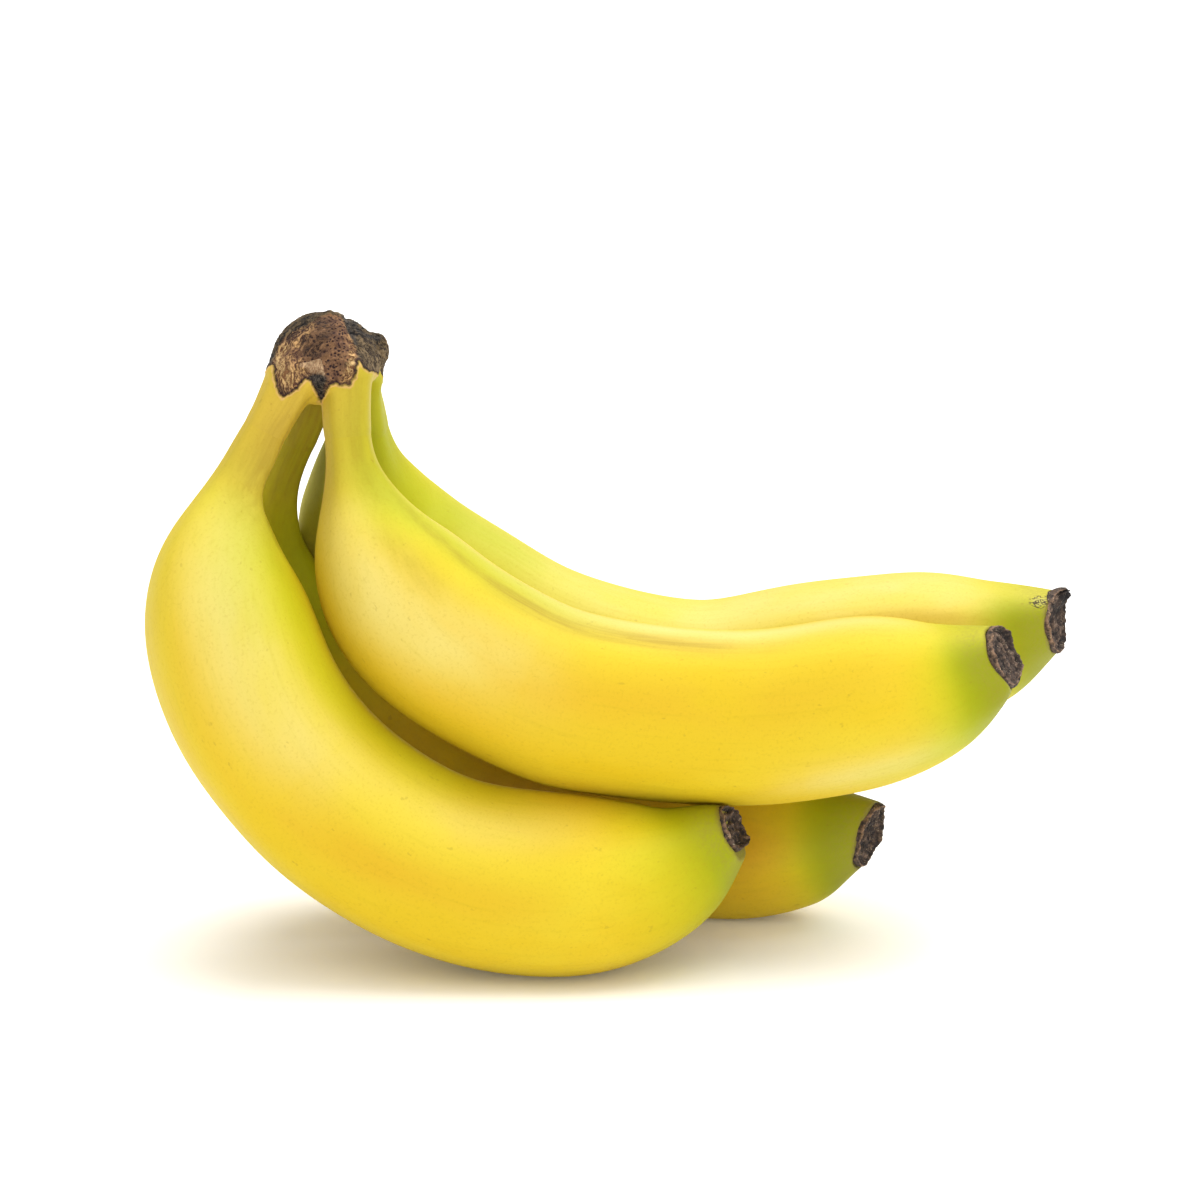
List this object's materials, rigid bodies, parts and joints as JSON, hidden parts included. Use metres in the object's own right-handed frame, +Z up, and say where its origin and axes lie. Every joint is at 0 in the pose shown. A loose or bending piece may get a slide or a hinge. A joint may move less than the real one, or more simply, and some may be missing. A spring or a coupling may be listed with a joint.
{
  "type": "bunch of bananas",
  "caption": "Hand of ripe bananas held together by a corky crown and resting on its two lower fingers, with upper fingers stacked over them and dry blossom ends at the tips.",
  "frame": {"origin": "on the surface the hand rests on, under the centre of its bounding box", "axes": "+Z up, +X from the crown towards the blossom ends, +Y from the front pair of fingers towards the back pair"},
  "size_m": [0.2024, 0.0862, 0.1396],
  "materials": {
    "peel": "waxy ripe peel, yellow with green shoulders and tips, soft sheen",
    "crown": "dry corky brown with a fibrous cut face, matte",
    "blossom_end": "dry, dark brown and crumpled, matte"
  },
  "bodies": {
    "root": {"banana_lower_front": "peel", "banana_upper_front": "peel", "banana_upper_back": "peel", "banana_lower_back": "peel", "crown": "crown", "blossom_end_lower_front": "blossom_end", "blossom_end_upper_front": "blossom_end", "blossom_end_upper_back": "blossom_end", "blossom_end_lower_back": "blossom_end"}
  },
  "joints": []
}
